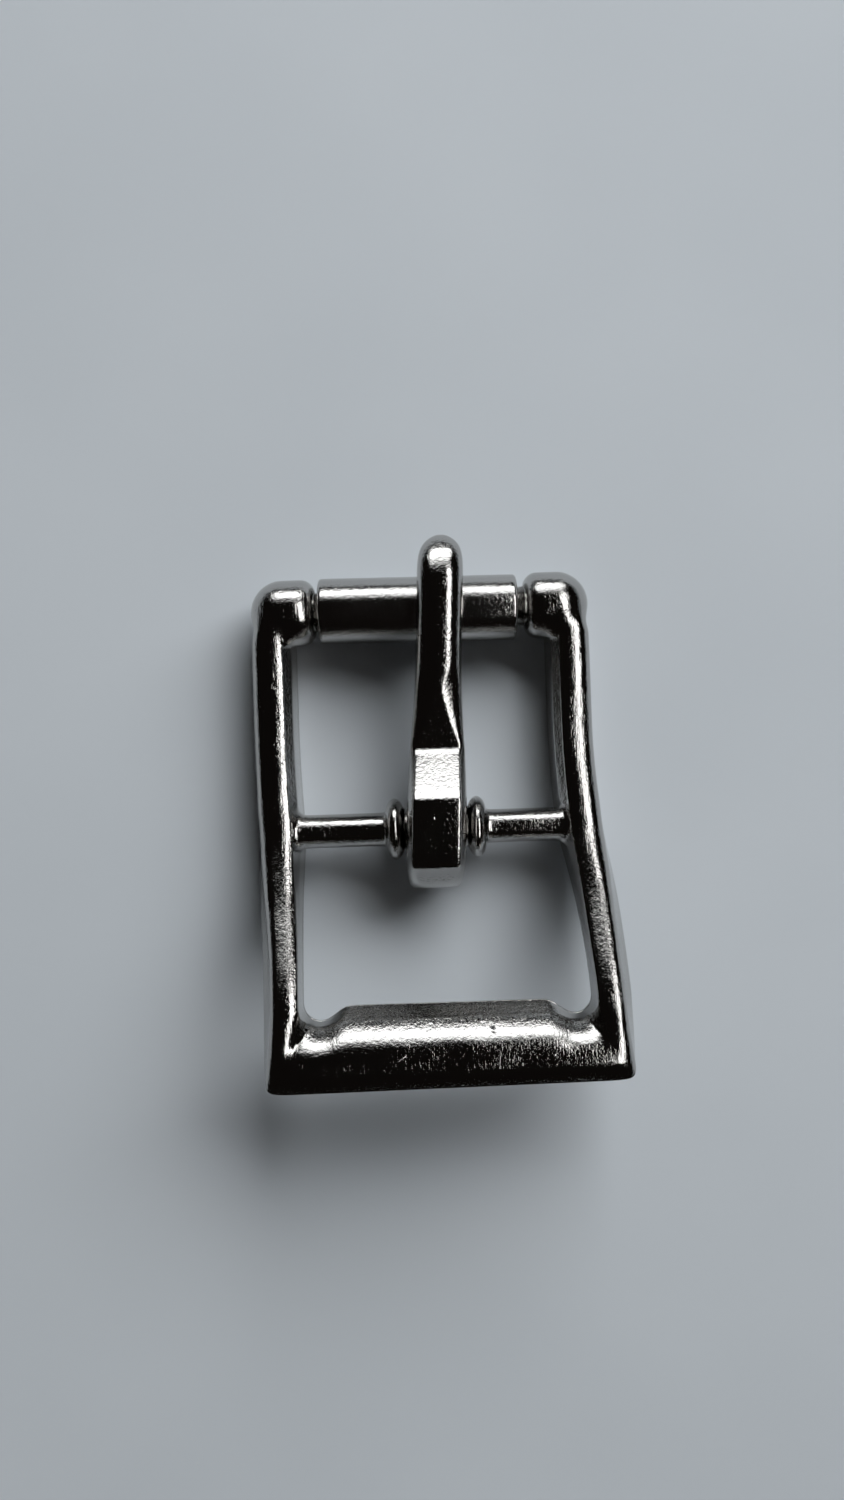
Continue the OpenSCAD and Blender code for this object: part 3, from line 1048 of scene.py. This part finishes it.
# Right half of a section across the tongue, from beside the middle of its underside to beside the middle of
# its top: shares of the half width and of the height
ROUND_BLADE: tuple[Point, ...] = (
    (0.35, 0.0), (0.70, 0.02), (0.90, 0.12), (0.965, 0.22), (0.99, 0.33), (1.0, 0.46),
    (0.985, 0.56), (0.95, 0.66), (0.89, 0.75), (0.80, 0.83), (0.56, 0.95), (0.28, 0.995),
)
FACET_BLADE: tuple[Point, ...] = (
    (0.35, 0.0), (0.74, 0.01), (0.94, 0.05), (1.0, 0.14), (1.0, 0.26), (1.0, 0.38),
    (1.0, 0.50), (1.0, 0.62), (0.985, 0.80), (0.90, 0.92), (0.77, 0.995), (0.45, 1.0),
)
HUMP = tuple(
    TongueRow(*row)
    for row in (
        (-1.00, 0.25, -0.05, 0.05, 0.3),
        (-0.97, 0.42, -0.34, 0.40, 0.4),
        (-0.88, 0.63, -0.58, 0.72, 0.6),
        (-0.74, 0.80, -0.77, 0.90, 0.8),
        (-0.58, 0.92, -0.90, 1, 1, 0.6),
        (-0.42, 0.97, -0.96, 1, 1),
        (-0.29, 1, -0.98, 1, 1, 0.8),
        (-0.15, 1, -1, 1, 1),
        (0, 1, -1, 1, 1),
        (0.045, 1, -0.99, 1, 1),
        (0.088, 1, -0.91, 0.99, 1),
        (0.106, 0.995, -0.86, 0.985, 1, 0.25),
        (0.122, 0.955, -0.81, 0.97, 1),
        (0.20, 0.68, -0.50, 0.86, 1),
        (0.245, 0.52, -0.33, 0.78, 1),
    )
)
BLADE = tuple(
    TongueRow(*row)
    for row in (
        (0.280, 0.97, 0.02, 0.71, 0.94),
        (0.31, 0.96, 0.07, 0.61, 0.82),
        (0.36, 0.95, 0.16, 0.45, 0.62),
        (0.43, 0.95, 0.29, 0.26, 0.32),
        (0.49, 0.965, 0.42, 0.14, 0.08),
        (0.53, 0.96, 0.50, 0.09, 0),
        (0.62, 0.98, 0.69, 0.02, 0),
        (0.70, 1, 0.86, 0, 0),
        (0.77, 1, 1, 0, 0),
        (0.84, 0.99, 1.04, 0, 0),
        (0.90, 0.92, 1.00, 0, 0),
        (0.945, 0.80, 0.94, -0.25, 0),
        (0.975, 0.62, 0.92, -0.9, 0),
        (0.993, 0.40, 0.96, -1.9, 0),
        (1.000, 0.20, 1.02, -2.7, 0),
    )
)


@dataclass
class Tongue:
    """The cast tongue: an eye on the centre bar, a faceted hump and a blade. Lengths are in millimetres."""

    centre: tuple[float, float, float]
    material: bpy.types.Material
    reach: float = 22.35
    eye_w: float = 4.6
    blade_w: float = 3.5
    blade_t: float = 2.6
    hump_h: float = 4.6
    eye_under: float = 2.75
    eye_back: float = 4.6
    eye_bore: float = 3.3
    bore_rim: float = 0.15
    saddle_h: float = -0.55
    rest_h: float = 2.35
    lean: float = 2.6
    # The facet that runs out to a ridge on the blade: half its width at the end, and the arch under it
    ridge_end: float = 0.05
    flat_share: float = 0.55
    side_pull: float = 0.35
    arch_reach: float = 0.62
    arch_power: float = 2.4
    arch_root: float = 0.8
    ridge_crease: float = 0.6
    side_crease: float = 0.4
    facet_edge: int = 10
    side_columns: tuple[int, int] = (3, 7)

    def points(self, y: float, top: float, under: float, wide: float, facet: float) -> list[tuple[float, ...]]:
        """Returns a ring of the tongue in the buckle's frame.

        Args:
            y: place in front of the hinge.
            top: height of the top over the hinge.
            under: height of the underside.
            wide: 0 for the blade's width and 1 for the eye's.
            facet: 0 for a round section and 1 for a faceted one.

        Returns:
            A point for each vertex of the ring.
        """
        half = mix(self.blade_w, self.eye_w, wide) / 2
        right = [mix_points(a, b, facet) for a, b in zip(ROUND_BLADE, FACET_BLADE)]
        if 0 < facet < 1:
            edge = mix(self.ridge_end, FACET_BLADE[self.facet_edge][0], facet)
            level = (1 - (self.arch_reach * edge) ** self.arch_power) ** self.arch_root
            right[self.facet_edge :] = [(edge, level), (self.flat_share * edge, level)]
            right[self.facet_edge - 1] = mix_points(right[self.facet_edge - 1], (edge, level), self.side_pull)
        shape = [(0.0, 0.0), *right, (0.0, right[-1][1]), *((-x, z) for x, z in reversed(right))]
        shift = y * math.tan(math.radians(self.lean))
        return [
            (self.centre[0] + shift + x * half, self.centre[1] + y, self.centre[2] + mix(under, top, z))
            for x, z in shape
        ]

    def rows(self) -> list[tuple[TongueRow, list[tuple[float, ...]]]]:
        """Works out a ring for each row of the tables.

        Returns:
            The rows with their rings, from the back of the eye to the tip.
        """
        made = []
        for row in HUMP:
            y = row.reach * (self.eye_back if row.reach < 0 else self.reach)
            made.append(
                (row, self.points(y, row.top * self.hump_h, row.under * self.eye_under, row.wide, row.facet))
            )
        for row in BLADE:
            under = mix(self.saddle_h, self.rest_h, row.under)
            made.append(
                (row, self.points(row.reach * self.reach, under + row.top * self.blade_t, under, row.wide, row.facet))
            )
        return made

    def build_eye(self, cage: Cage, rings: Sequence[Ring]) -> None:
        """Opens the eye's bore from side to side.

        Args:
            cage: the control mesh.
            rings: the tongue's rings, in the order of the tables.
        """
        middle = next(i for i, row in enumerate(HUMP) if row.reach == 0)
        rows = range(middle - 2, middle + 3)
        low, high = self.side_columns
        count = len(rings[0])
        border = cage.open_patch(rings, rows, range(low + 1, high + 2))
        cage.open_patch(rings, rows, range(count - 1 - high, count - low))
        right = [rings[r][c] for r, c in border]
        left = [rings[r][count - c] for r, c in border]
        centre = (self.centre[1], self.centre[2])
        angles = even_angles(right, centre)
        bore, half = self.eye_bore / 2, self.eye_w / 2
        ring = right
        mouth, wide = half - self.bore_rim, bore + self.bore_rim
        for x, radius in ((half, wide), (mouth, bore), (0.0, bore), (-mouth, bore), (-half, wide)):
            ring = cage.grow(ring, circle(self.centre[0] + x, radius, centre, angles))
        cage.join(ring, left)

    def build(self) -> bpy.types.Object:
        """Builds the tongue as one closed skin.

        Returns:
            The piece.
        """
        cage = Cage()
        rows = self.rows()
        rings = [cage.start(rows[0][1])]
        for _, points in rows[1:]:
            rings.append(cage.grow(rings[-1], points))
        for ring in (rings[0], rings[-1]):
            cage.close(ring, len(ring) // 4)
        count = len(rings[0])
        for index in (self.facet_edge + 1, count - 1 - self.facet_edge):
            cage.mark(rings, index, lambda i: self.ridge_crease * min(1.0, 4 * rows[i + 1][0].facet))
        for index in (self.facet_edge - 1, count + 1 - self.facet_edge):
            cage.mark(rings, index, lambda i: self.side_crease * max(0.0, rows[i][0].facet - 0.5))
        for (row, _), ring in zip(rows, rings):
            cage.mark_ring(ring, range(self.facet_edge + 1, count - 1 - self.facet_edge), row.crease)
        self.build_eye(cage, rings)
        piece = finish_piece(cage, "cast_tongue", self.material)
        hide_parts("tongue")
        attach(piece, "tongue")
        return piece


class Reach(Enum):
    """What a light reaches: only the mirror of the metal, or only matt surfaces."""

    MIRROR = "mirror"
    MATT = "matt"


@dataclass(frozen=True)
class SoftBox:
    """A rectangular studio light: its middle, its target, its size in metres and its strength in watts."""

    name: str
    middle: tuple[float, float, float]
    size: Point
    power: float
    colour: tuple[float, float, float] = (1.0, 1.0, 1.0)
    target: tuple[float, float, float] = (0.0, 0.0, 0.0)
    reach: Reach = Reach.MIRROR
    fade: tuple[float, float, float] = (0.0, 0.0, 0.0)

    def build(self) -> None:
        """Adds the light, turned to its target with its width level."""
        data = bpy.data.lights.new(self.name, "AREA")
        data.shape, data.size, data.size_y = "RECTANGLE", *self.size
        data.energy, data.color = self.power, self.colour
        if any(self.fade):
            self.soften(data)
        lamp = bpy.data.objects.new(self.name, data)
        lamp.location = self.middle
        away = Vector(self.target) - Vector(self.middle)
        lamp.rotation_euler = away.to_track_quat("-Z", "Y").to_euler()
        lamp.visible_diffuse = self.reach is Reach.MATT
        lamp.visible_glossy = self.reach is Reach.MIRROR
        bpy.context.scene.collection.objects.link(lamp)

    def soften(self, data: bpy.types.Light) -> None:
        """Fades the light towards its sides, its lower and its upper edge.

        Args:
            data: the light.
        """
        data.use_nodes = True
        tree = NodeTree.of_light(data)
        spot = tree.node("ShaderNodeNewGeometry", output="Parametric")
        parts = tree.node("ShaderNodeSeparateXYZ", inputs={0: spot})
        across, up = parts, Wire(tree, parts.socket.node.outputs[1])
        sides, low, high = (max(f, 0.001) for f in self.fade)
        glow = across.band(0, sides) * (1 - across).band(0, sides) * up.band(0, low) * (1 - up).band(0, high)
        tree.node("ShaderNodeOutputLight", inputs={0: tree.node("ShaderNodeEmission", inputs={"Strength": glow})})


DAYLIGHT = (0.97, 0.99, 1.0)
LIGHTS = (
    SoftBox("key", (0.42, 0.60, 0.56), (0.9, 0.7), 14.6, DAYLIGHT, (0.0, 0.0, 0.62), Reach.MATT),
    SoftBox("strip", (0.33, 0.02, 0.60), (0.95, 0.20), 3.0, fade=(0.1, 0.25, 0.25)),
    SoftBox("window", (0.0, 0.60, 0.47), (0.72, 0.58), 4.9, DAYLIGHT, (0.0, 0.0, 0.47), fade=(0.15, 0.06, 0.9)),
)


@dataclass
class Studio:
    """Pale floor, soft lights in a dim room, and the camera straight above."""

    camera_height: float = 0.0877
    camera_foot: Point = (-0.0013, 0.00431)
    camera_turn: float = -1.9
    focal_px: float = 1083.0
    picture_h: float = 1500.0
    sensor: float = 36.0
    floor_size: float = 1.6
    floor_dark: tuple[float, float, float] = (0.63, 0.67, 0.71)
    floor_pale: tuple[float, float, float] = (0.66, 0.70, 0.74)
    room: tuple[float, float, float] = (0.006, 0.005, 0.0045)

    def build_floor(self) -> None:
        """Adds the floor with its pale blue-grey paint."""
        tree = NodeTree("pale_floor")
        cloud = tree.noise(tree.place(), scale=0.03).band(0.3, 0.7)
        shade = tree.mix_colours(cloud, self.floor_dark, self.floor_pale)
        surface = tree.node(
            "ShaderNodeBsdfPrincipled", inputs={"Base Color": shade, "Roughness": 0.7, "Specular IOR Level": 0.2}
        )
        tree.node("ShaderNodeOutputMaterial", inputs={"Surface": surface})
        bm = bmesh.new()
        bmesh.ops.create_grid(bm, x_segments=4, y_segments=4, size=self.floor_size / 2)
        mesh = bpy.data.meshes.new("floor")
        bm.to_mesh(mesh)
        bm.free()
        mesh.materials.append(tree.material)
        floor = bpy.data.objects.new("floor", mesh)
        bpy.context.scene.collection.objects.link(floor)

    def build_camera(self) -> None:
        """Adds the camera, looking straight down."""
        data = bpy.data.cameras.new("camera")
        data.sensor_width = self.sensor
        data.lens = self.sensor * self.focal_px / self.picture_h
        data.clip_start, data.clip_end = 0.005, 10.0
        camera = bpy.data.objects.new("camera", data)
        camera.location = (*self.camera_foot, self.camera_height)
        camera.rotation_euler = (0.0, 0.0, math.radians(self.camera_turn))
        bpy.context.scene.collection.objects.link(camera)
        bpy.context.scene.camera = camera

    def build(self) -> None:
        """Adds the floor, the room's dim light, the lights and the camera."""
        self.build_floor()
        world = bpy.data.worlds.new("dim_room")
        world.use_nodes = True
        world.node_tree.nodes["Background"].inputs["Color"].default_value = (*self.room, 1.0)
        bpy.context.scene.world = world
        bpy.context.scene.view_settings.view_transform = "Standard"
        for light in LIGHTS:
            light.build()
        self.build_camera()


CAST_MARKS = (
    SmallMark(Mark.NICK, (3.2, -16.2), 0.35, 20),
    SmallMark(Mark.SCRATCH, (-3.6, -18.0), 0.45, 52),
    SmallMark(Mark.SPECK, (9.7, 9.3), 0.12),
    SmallMark(Mark.SPECK, (-13.0, 11.2), 0.12),
)
TONGUE_MARKS = (SmallMark(Mark.SPECK, (-0.6, -0.8), 0.16),)


def main() -> None:
    """Builds the buckle's pieces and the studio."""
    logging.basicConfig(level=logging.INFO, format="%(name)s: %(message)s")
    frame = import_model()
    joints = {joint["name"]: joint["pos_m"] for joint in frame["record"]["behaviour"]["joints"]}
    hinge, spin = (tuple(v / MM for v in joints[name]) for name in ("tongue_hinge", "roller_spin"))
    cast = Nickel("cast_nickel", marks=CAST_MARKS)
    tube = Nickel("tube_nickel", (0.51, 0.50, 0.485), 0.10, 0.9, 0.2, 0.4)
    tongue = Nickel("tongue_nickel", grain=1.1, waves=0.5, polish=0.35, marks=TONGUE_MARKS)
    pieces = [
        Casting(hinge[1], hinge[2], cast.material()).build(),
        Roller(spin, tube.material()).build(),
        Tongue(hinge, tongue.material()).build(),
    ]
    for piece in pieces:
        LOG.info("%s is in place", piece.name)
    Studio().build()


if __name__ == "__main__":
    main()
